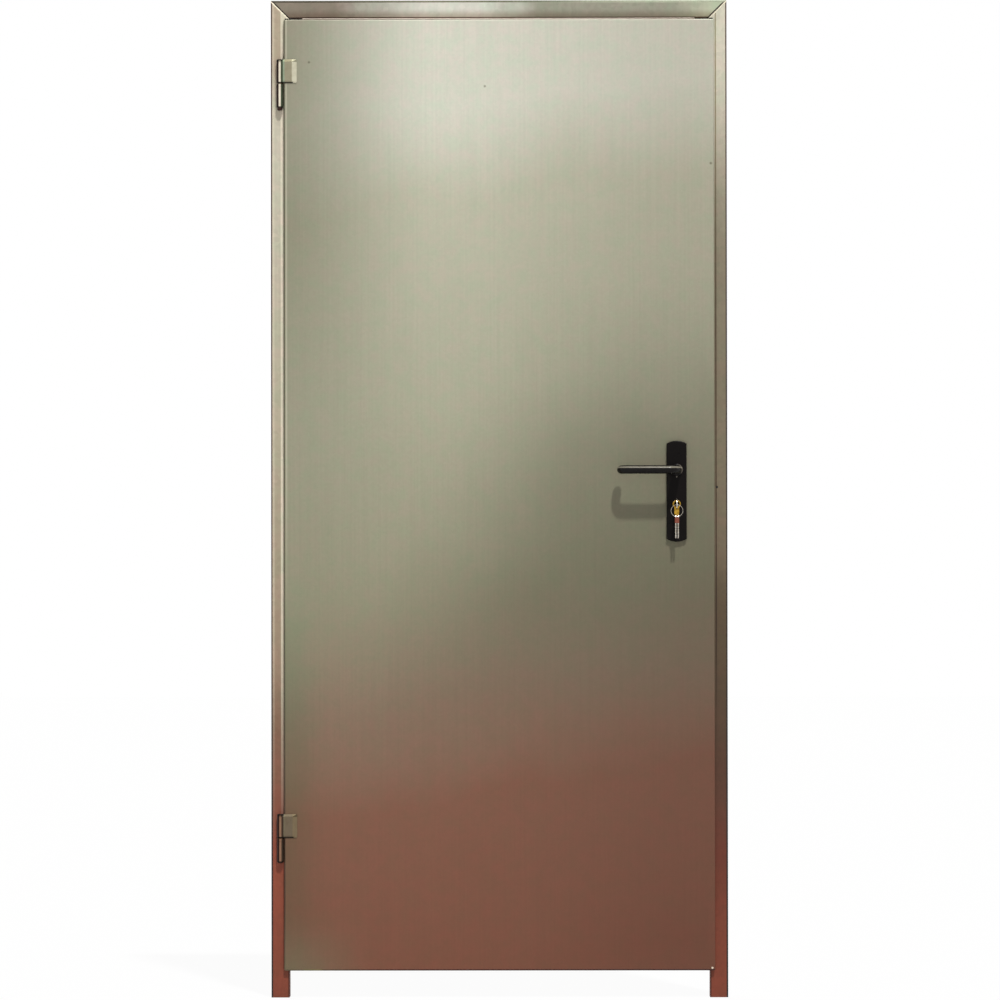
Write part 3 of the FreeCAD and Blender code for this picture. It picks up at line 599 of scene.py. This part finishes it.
def soft_plastic(name, colour, rough):
    """A soft moulded or extruded polymer: matt, with a faint bloom."""
    material, tree, shader, place = new_material(name, {"Specular IOR Level": 0.3})
    bloom = add(tree, "ShaderNodeTexNoise", {"Vector": place, "Scale": per_metre(7), "Detail": 3.0})
    dusty = add(tree, "ShaderNodeVectorMath", {0: colour, 1: (0.02, 0.02, 0.02)}, operation="ADD")
    tone = add(tree, "ShaderNodeMix", {"Factor": bloom, "A": opaque(colour), "B": dusty},
               data_type="RGBA")
    sheen = add(tree, "ShaderNodeMapRange",
                {"Value": bloom, "To Min": rough - 0.1, "To Max": rough + 0.1})
    carry(tree, shader, {"Base Color": tone, "Roughness": sheen})
    return material


def pressed_wool():
    """Pressed mineral wool: matt fibres that lie along the board."""
    material, tree, shader, place = new_material("pressed_wool", {"Specular IOR Level": 0.1})
    fibres = add(tree, "ShaderNodeMapping", {"Vector": place, "Scale": (0.15, 1, 1)})
    fibres = add(tree, "ShaderNodeTexNoise", {"Vector": fibres, "Scale": per_metre(2), "Detail": 4.0})
    tone = add(tree, "ShaderNodeMix", {"Factor": fibres, "A": opaque(finishes().wool),
                                       "B": opaque(hex_linear("6f6238"))}, data_type="RGBA")
    bump = add(tree, "ShaderNodeBump", {"Height": fibres, "Strength": 0.6, "Distance": mm(1)})
    rough = add(tree, "ShaderNodeMapRange", {"Value": fibres, "To Min": 0.85, "To Max": 1.0})
    carry(tree, shader, {"Base Color": tone, "Roughness": rough, "Normal": bump})
    return material


def dress(names, material):
    """Gives nodes of the frame a finish."""
    for name in names:
        slots = NODES[name].data.materials
        slots.clear()
        slots.append(material)


# Pieces

# Radius and height of the small heads, and how far the screws sit from a plate's ends
GRUB_SCREW = (mm(1.5), mm(0.6))
FOREND_SCREW = (mm(3.2), mm(0.5))
CORNER_RIVET = (mm(2.2), mm(1))
JAMB_HOLE_SHADE = (mm(2.4), mm(0.5))
PLATE_SCREW_INSET = mm(14)
FOREND_SCREW_INSET = mm(12)
ROUND_STEPS = 8


def finish_piece(name, mesh_edit, body, material):
    """Makes an object of an edited mesh, with its faces outwards, and lets it ride on a body."""
    bmesh.ops.remove_doubles(mesh_edit, verts=mesh_edit.verts, dist=1e-7)
    bmesh.ops.recalc_face_normals(mesh_edit, faces=mesh_edit.faces)
    mesh = bpy.data.meshes.new(name)
    mesh_edit.to_mesh(mesh)
    mesh_edit.free()
    mesh.polygons.foreach_set("use_smooth", [True] * len(mesh.polygons))
    mesh.set_sharp_from_angle(angle=SMOOTH_ANGLE)
    mesh.materials.append(material)
    piece = bpy.data.objects.new(name, mesh)
    bpy.context.scene.collection.objects.link(piece)
    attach(piece, body)
    return piece


def circle(mesh_edit, radius, segments, place, closed):
    """A circle's edges, with a face in it where it is closed."""
    verts = bmesh.ops.create_circle(mesh_edit, cap_ends=closed, segments=segments, radius=radius,
                                    matrix=place)["verts"]
    return list({edge for vert in verts for edge in vert.link_edges})


def grow(mesh_edit, edges):
    """Extrudes a loop of edges on the spot, and gives the new loop's vertices and edges."""
    geometry = bmesh.ops.extrude_edge_only(mesh_edit, edges=edges)["geom"]
    verts = [part for part in geometry if isinstance(part, bmesh.types.BMVert)]
    edges = [part for part in geometry if isinstance(part, bmesh.types.BMEdge)
             and all(vert in verts for vert in part.verts)]
    return verts, edges


def stand(middle, direction, radius):
    """Turns and scales a unit circle to lie across a bar."""
    turn = direction.to_track_quat("Z", "Y").to_matrix().to_4x4()
    return Matrix.Translation(middle) @ turn @ Matrix.Diagonal((radius, radius, radius, 1))


def sweep(mesh_edit, stations, segments):
    """A bar through stations, each a middle, a direction and a radius, with both ends closed."""
    last = stand(*stations[0])
    edges = circle(mesh_edit, 1, segments, last, True)
    for station in stations[1:]:
        verts, edges = grow(mesh_edit, edges)
        here = stand(*station)
        bmesh.ops.transform(mesh_edit, matrix=here @ last.inverted(), verts=verts)
        last = here
    bmesh.ops.contextual_create(mesh_edit, geom=edges)


def screw(mesh_edit, foot, direction, radius, height):
    """A pan head with a bevelled rim and a round recess."""
    turn = direction.to_track_quat("Z", "Y").to_matrix().to_4x4()
    place = Matrix.Translation(foot + direction * height / 2) @ turn
    verts = bmesh.ops.create_cone(mesh_edit, cap_ends=True, segments=28, radius1=radius,
                                  radius2=radius, depth=height, matrix=place)["verts"]
    faces = {face for vert in verts for face in vert.link_faces}
    top = max(faces, key=lambda face: face.calc_center_median().dot(direction))
    rim = list(top.edges)
    bmesh.ops.bevel(mesh_edit, geom=rim, offset=height * 0.45, offset_type="OFFSET", segments=3,
                    profile=0.5, affect="EDGES", material=-1)
    faces = [face for face in mesh_edit.faces if face.normal.dot(direction) > 0.99]
    middle = foot + direction * height
    top = min(faces, key=lambda face: (face.calc_center_median() - middle).length)
    bmesh.ops.inset_region(mesh_edit, faces=[top], thickness=radius * 0.35, depth=0)
    bmesh.ops.inset_region(mesh_edit, faces=[top], thickness=radius * 0.04, depth=-height * 0.5)


def weld_bead(mesh_edit, start, end, width):
    """A rippled bead between two points, tapered at its ends."""
    along = end - start
    steps = max(8, round(along.length / (sizes().weld_pitch / 2)))
    valley, thin_end, swell = 0.86, 0.45, 4
    stations = []
    for step in range(steps + 1):
        share = step / steps
        ripple = 1.0 if step % 2 else valley
        taper = min(1.0, thin_end + swell * min(share, 1 - share))
        stations.append((start + along * share, along, width / 2 * ripple * taper))
    sweep(mesh_edit, stations, 12)


class DOOR_OT_frame_finish(bpy.types.Operator):
    """Galvanises the two jambs and the head rail"""
    bl_idname = "door.frame_finish"
    bl_label = "Frame Finish"

    def execute(self, context):
        dress(("hinge_jamb", "lock_jamb"), tube_zinc())
        dress(("head_rail",), rail_zinc())
        rubber = soft_plastic("seal_rubber", finishes().rubber, 0.8)
        dress(("hinge_side_seal", "lock_side_seal"), rubber)
        return {"FINISHED"}


class DOOR_OT_leaf_finish(bpy.types.Operator):
    """Galvanises the leaf's sheets and shows the wool behind them"""
    bl_idname = "door.leaf_finish"
    bl_label = "Leaf Finish"

    def execute(self, context):
        dress(("leaf_front_skin", "leaf_back_skin"), sheet_zinc())
        dress(("leaf_core",), pressed_wool())
        # A rounded fold along the leaf's top front edge, which is real; its pale plating is painted
        # highlight, the line of light the fold catches
        fold = bmesh.new()
        radius, rise = mm(1.5), mm(1.2)
        hinge_end, lock_end = mm(39), mm(40)
        start = Vector((LEAF_LOW.x + hinge_end, LEAF_LOW.y + radius, LEAF_HIGH.z + rise))
        end = Vector((LEAF_HIGH.x - lock_end, start.y, start.z))
        sweep(fold, [(start, X_AXIS, radius), (end, X_AXIS, radius)], 16)
        bright = fitting_zinc("highlight_fold_zinc", hex_linear("a89c90"))
        finish_piece("leaf_top_fold", fold, "leaf", bright)
        return {"FINISHED"}


class DOOR_OT_hinges(bpy.types.Operator):
    """Plates the hinges and welds them on"""
    bl_idname = "door.hinges"
    bl_label = "Hinges"

    def execute(self, context):
        weld_zinc = fitting_zinc("weld_zinc", finishes().fitting_zinc)
        steel = turned_steel("black_steel", "2a1715", "453430")
        bronze = cut_metal("bearing_bronze", hex_linear("4a3320"), hex_linear("2c1f14"), 0.35)
        half, margin = mm(4.5), mm(2)
        # Tones across each hinge: painted highlight, painted shade, deeper painted shade, the neck,
        # the flat and the painted highlight on the wing's rim
        for hinge, tones in (
                ("top_hinge", ("e6dcc9", "4d5843", "3d4433", "8f9c84", "969079", "c6c2ab")),
                ("bottom_hinge", ("8c6a54", "4e3c2e", "2a2018", "6e6450", "6c5f4d", "76674f"))):
            dress([hinge + "_wing", hinge + "_barrel"], barrel_zinc(hinge, tones))
            dress([hinge + "_pin"], steel)
            dress([hinge + "_washer"], bronze)
            low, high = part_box(hinge + "_barrel")
            middle = (low.x + high.x) / 2
            beads = bmesh.new()
            for side in (-1, 1):
                start = Vector((middle + side * half, JAMB_LOW.y, low.z + margin))
                end = Vector((start.x, start.y, high.z - margin))
                weld_bead(beads, start, end, sizes().weld_width)
            finish_piece(hinge + "_welds", beads, "frame", weld_zinc)
        return {"FINISHED"}


def quarter_turn(middle, start, turn_axis, radius, steps=14):
    """Stations round a quarter turn, which starts at an offset from its middle."""
    stations = []
    for step in range(steps + 1):
        turn = Matrix.Rotation(math.radians(90) * step / steps, 3, turn_axis)
        offset = turn @ start
        stations.append((middle + offset, turn_axis.cross(offset), radius))
    return stations


def rounded_end(face, direction, radius, rounding):
    """Stations up to a bar's end face, over its rounded edge."""
    stations = []
    for step in range(ROUND_STEPS + 1):
        angle = math.radians(90) * step / ROUND_STEPS
        place = face - direction * (rounding * (1 - math.sin(angle)))
        stations.append((place, direction, radius - rounding * (1 - math.cos(angle))))
    return stations


def lever_piece(node, side, material):
    """A returned lever of round bar, with a domed end and a rounded collar at its neck."""
    low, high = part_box(node)
    radius, bend = sizes().lever_radius, sizes().lever_bend
    out = Y_AXIS * side
    plate_face = high.y if side < 0 else low.y
    grip_y = low.y + radius if side < 0 else high.y - radius
    bend_y = grip_y - side * bend
    tip_y = grip_y - side * sizes().lever_return
    end_x = low.x + radius
    neck = Vector((LEVER_X, plate_face, LEVER_Z))
    upwards = Z_AXIS * side
    first_bend = Vector((LEVER_X - bend, bend_y, LEVER_Z))
    last_bend = Vector((end_x + bend, bend_y, LEVER_Z))
    edit = bmesh.new()
    stations = [(neck, out, radius)]
    stations += quarter_turn(first_bend, X_AXIS * bend, upwards, radius)
    stations += quarter_turn(last_bend, out * bend, upwards, radius)
    stations += rounded_end(Vector((end_x, tip_y, LEVER_Z)), -out, radius, sizes().lever_tip)
    sweep(edit, stations, 40)
    collar_radius = (high.z - low.z) / 2
    collar_face = neck + out * sizes().collar_height
    stations = [(neck, out, collar_radius)]
    stations += rounded_end(collar_face, out, collar_radius, sizes().collar_round)
    sweep(edit, stations, 48)
    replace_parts(finish_piece(node + "_bar", edit, "handle", material), node)


class DOOR_OT_lever_set(bpy.types.Operator):
    """Bends the levers and finishes the cover plates, with their screws"""
    bl_idname = "door.lever_set"
    bl_label = "Lever Set"

    def execute(self, context):
        # The plates carry no painted highlight; the levers carry it at half strength
        dress(("front_plate", "back_plate"), black_nylon("satin_nylon", 0.07, 0.3, 0.0))
        polished = black_nylon("polished_nylon", 0.14, 0.26, 0.5)
        lever_piece("front_lever", -1, polished)
        lever_piece("back_lever", 1, polished)
        steel = turned_steel("turned_steel", "6f6a62", "8a857b")
        dress(("spindle",), steel)
        screws = bmesh.new()
        grub_drop = mm(14.6)
        screw(screws, Vector((LEVER_X, PLATE_LOW.y, LEVER_Z - grub_drop)), -Y_AXIS, *GRUB_SCREW)
        for level in (PLATE_LOW.z + PLATE_SCREW_INSET, PLATE_HIGH.z - PLATE_SCREW_INSET):
            screw(screws, Vector((LEVER_X, BACK_PLATE_HIGH.y, level)), Y_AXIS, sizes().screw_radius,
                  sizes().screw_height)
        finish_piece("plate_screws", screws, "leaf", steel)
        return {"FINISHED"}


class DOOR_OT_lock(bpy.types.Operator):
    """Finishes the lock, its forend and the strike plate, with their screws"""
    bl_idname = "door.lock"
    bl_label = "Lock"

    def execute(self, context):
        zinc = fitting_zinc("plated_zinc", finishes().fitting_zinc)
        steel = turned_steel("turned_steel", "6f6a62", "8a857b")
        brass = cut_metal("extruded_brass", finishes().brass, hex_linear("7d5f1e"), 0.32)
        dress(("strike_plate", "lock_forend"), zinc)
        dress(("latch_bolt", "dead_bolt"), steel)
        dress(("lock_cylinder",), brass)
        rims = bmesh.new()
        outer = CYLINDER_RADIUS - mm(1.6)
        inner, rise = outer - mm(0.9), mm(0.25)
        turn = Matrix.Rotation(math.radians(90), 4, "X")
        for face, out in ((CYLINDER_LOW.y, -1), (CYLINDER_HIGH.y, 1)):
            middle = Vector((LEVER_X, face, CYLINDER_Z))
            edges = circle(rims, outer, 40, Matrix.Translation(middle) @ turn, False)
            for height, radius in ((rise, outer), (rise, inner), (0, inner)):
                verts, edges = grow(rims, edges)
                for vert in verts:
                    across = vert.co - middle
                    across.y = 0
                    vert.co = middle + across.normalized() * radius + Y_AXIS * (out * height)
        bmesh.ops.holes_fill(rims, edges=rims.edges, sides=0)
        finish_piece("cylinder_rotor_rims", rims, "leaf", brass)
        middle = (FOREND_LOW.y + FOREND_HIGH.y) / 2
        for name, body, face, out, low, high in (
                ("forend_screws", "leaf", FOREND_HIGH.x, X_AXIS, FOREND_LOW.z, FOREND_HIGH.z),
                ("strike_screws", "frame", STRIKE_LOW.x, -X_AXIS, STRIKE_LOW.z, STRIKE_HIGH.z)):
            screws = bmesh.new()
            for level in (low + FOREND_SCREW_INSET, high - FOREND_SCREW_INSET):
                screw(screws, Vector((face, middle, level)), out, *FOREND_SCREW)
            finish_piece(name, screws, body, steel)
        return {"FINISHED"}


class DOOR_OT_keys(bpy.types.Operator):
    """Finishes the keys and winds the split ring"""
    bl_idname = "door.keys"
    bl_label = "Keys"

    def execute(self, context):
        nickel = cut_metal("nickel_silver", finishes().nickel, hex_linear("8f877a"), 0.24)
        dress(("key_in_lock", "hanging_key_left", "hanging_key_right"), nickel)
        dress(("key_band",), soft_plastic("coloured_band", finishes().band, 0.5))
        wire = sizes().ring_wire / 2
        middle = (RING_LOW + RING_HIGH) / 2
        radius = (RING_HIGH.x - RING_LOW.x) / 2 - wire
        ring = bmesh.new()
        turns, steps, first_angle = 1.85, 120, math.radians(200)
        stations = []
        for step in range(steps + 1):
            share = step / steps
            angle = turns * 2 * math.pi * share + first_angle
            outwards = Vector((math.cos(angle), 0, math.sin(angle)))
            tangent = Vector((-math.sin(angle), 0, math.cos(angle)))
            shift = Y_AXIS * wire * (2 * share - 1)
            stations.append((middle + outwards * radius + shift, tangent, wire))
        sweep(ring, stations, 10)
        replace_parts(finish_piece("split_ring", ring, "leaf", nickel), "key_ring")
        return {"FINISHED"}


class DOOR_OT_marks(bpy.types.Operator):
    """Adds the rivet at the leaf's lower corner and a black disc on the lock jamb, painted shade for
    a hole there
    """
    bl_idname = "door.marks"
    bl_label = "Rivet and Plug"

    def execute(self, context):
        rivet = bmesh.new()
        corner = Vector((LEAF_HIGH.x - mm(6), LEAF_LOW.y, LEAF_LOW.z + mm(5.5)))
        screw(rivet, corner, -Y_AXIS, *CORNER_RIVET)
        polished = cut_metal("polished_rivet", hex_linear("f2e4d2"), hex_linear("d8c6b0"), 0.3)
        finish_piece("corner_rivet", rivet, "leaf", polished)
        # A black disc where the lock jamb has a hole: painted shade for the hole
        hole_disc = bmesh.new()
        hole = Vector((LOCK_LOW.x + mm(16), LOCK_LOW.y, LEVER_Z - mm(36)))
        screw(hole_disc, hole, -Y_AXIS, *JAMB_HOLE_SHADE)
        hole_shade_material = soft_plastic("hole_shade_black", hex_linear("141210"), 0.6)
        finish_piece("jamb_hole_shade", hole_disc, "frame", hole_shade_material)
        return {"FINISHED"}


class DOOR_OT_stage(bpy.types.Operator):
    """Sets out the floor, the light and the camera"""
    bl_idname = "door.stage"
    bl_label = "Stage"

    def execute(self, context):
        scene = bpy.context.scene
        scene.view_settings.view_transform = "Standard"
        floor = bmesh.new()
        bmesh.ops.create_grid(floor, x_segments=1, y_segments=1, size=FLOOR_SIZE,
                              matrix=Matrix.Translation((DOOR_WIDTH / 2, 0, JAMB_LOW.z)))
        mesh = bpy.data.meshes.new("floor")
        floor.to_mesh(mesh)
        floor.free()
        mesh.materials.append(self.floor_material())
        stage = bpy.data.objects.new("floor", mesh)
        scene.collection.objects.link(stage)
        self.world(scene)
        self.lamp("key_light", *KEY_LIGHT)
        self.lamp("back_fill", *BACK_FILL)
        self.camera(scene)
        return {"FINISHED"}

    def floor_material(self):
        """Pale paper on the floor: it goes white to the eye and keeps the door's shadow."""
        material = bpy.data.materials.new("floor_paper")
        material.use_nodes = True
        tree = material.node_tree
        tree.nodes.clear()
        paper = add(tree, "ShaderNodeBsdfDiffuse", {"Color": opaque(FLOOR_PAPER)})
        glow = add(tree, "ShaderNodeEmission", {"Color": opaque((1, 1, 1)), "Strength": 1.0})
        path = add(tree, "ShaderNodeLightPath")
        share = add(tree, "ShaderNodeMath", {0: path.outputs["Is Camera Ray"], 1: FLOOR_GLOW},
                    operation="MULTIPLY")
        mixed = add(tree, "ShaderNodeMixShader", {0: share, 1: paper, 2: glow})
        add(tree, "ShaderNodeOutputMaterial", {"Surface": mixed})
        return material

    def world(self, scene):
        """White to the eye, in metal and through glass, and a plain dim fill for everything else."""
        world = bpy.data.worlds.new("studio")
        world.use_nodes = True
        tree = world.node_tree
        tree.nodes.clear()
        path = add(tree, "ShaderNodeLightPath")
        seen = add(tree, "ShaderNodeMath",
                   {0: path.outputs["Is Camera Ray"], 1: path.outputs["Is Glossy Ray"]},
                   operation="MAXIMUM")
        seen = add(tree, "ShaderNodeMath", {0: seen, 1: path.outputs["Is Transmission Ray"]},
                   operation="MAXIMUM")
        fill = add(tree, "ShaderNodeBackground", {"Color": opaque((1, 1, 1)), "Strength": WORLD_FILL})
        white = add(tree, "ShaderNodeBackground", {"Color": opaque((1, 1, 1)), "Strength": 1.0})
        mixed = add(tree, "ShaderNodeMixShader", {0: seen, 1: fill, 2: white})
        add(tree, "ShaderNodeOutputWorld", {"Surface": mixed})
        scene.world = world

    def lamp(self, name, direction, strength, spread):
        """A sun that shines in a direction, with its spread in degrees."""
        light = bpy.data.lights.new(name, "SUN")
        light.energy = strength
        light.angle = math.radians(spread)
        lamp = bpy.data.objects.new(name, light)
        lamp.rotation_euler = (-direction).to_track_quat("Z", "Y").to_euler()
        bpy.context.scene.collection.objects.link(lamp)

    def camera(self, scene):
        """The camera fitted to the photo."""
        lens = bpy.data.cameras.new("camera")
        lens.lens = CAMERA_LENS
        lens.clip_end = CAMERA_REACH
        camera = bpy.data.objects.new("camera", lens)
        camera.matrix_world = (Matrix.Translation(CAMERA_PLACE) @ Matrix.Rotation(HEADING, 4, "Z")
                               @ Matrix.Rotation(math.radians(90) + PITCH, 4, "X")
                               @ Matrix.Rotation(ROLL, 4, "Z"))
        scene.collection.objects.link(camera)
        scene.camera = camera


class DOOR_PT_panel(bpy.types.Panel):
    """The door's sizes, colours and pieces"""
    bl_idname = "DOOR_PT_panel"
    bl_label = "Service Door"
    bl_space_type = "VIEW_3D"
    bl_region_type = "UI"
    bl_category = "Door"

    def draw(self, context):
        layout = self.layout
        for group in (context.scene.door_sizes, context.scene.door_finishes):
            box = layout.box()
            for name in group.__annotations__:
                box.prop(group, name)
        for operator in OPERATORS:
            layout.operator(operator.bl_idname)


OPERATORS = (DOOR_OT_frame_finish, DOOR_OT_leaf_finish, DOOR_OT_hinges, DOOR_OT_lever_set,
             DOOR_OT_lock, DOOR_OT_keys, DOOR_OT_marks, DOOR_OT_stage)
CLASSES = (DoorSizes, DoorFinishes) + OPERATORS + (DOOR_PT_panel,)


def register():
    for entry in CLASSES:
        bpy.utils.register_class(entry)
    bpy.types.Scene.door_sizes = PointerProperty(type=DoorSizes)
    bpy.types.Scene.door_finishes = PointerProperty(type=DoorFinishes)


def unregister():
    del bpy.types.Scene.door_finishes
    del bpy.types.Scene.door_sizes
    for entry in reversed(CLASSES):
        bpy.utils.unregister_class(entry)


def main():
    register()
    for operator in OPERATORS:
        group, name = operator.bl_idname.split(".")
        getattr(getattr(bpy.ops, group), name)()


if __name__ == "__main__":
    main()
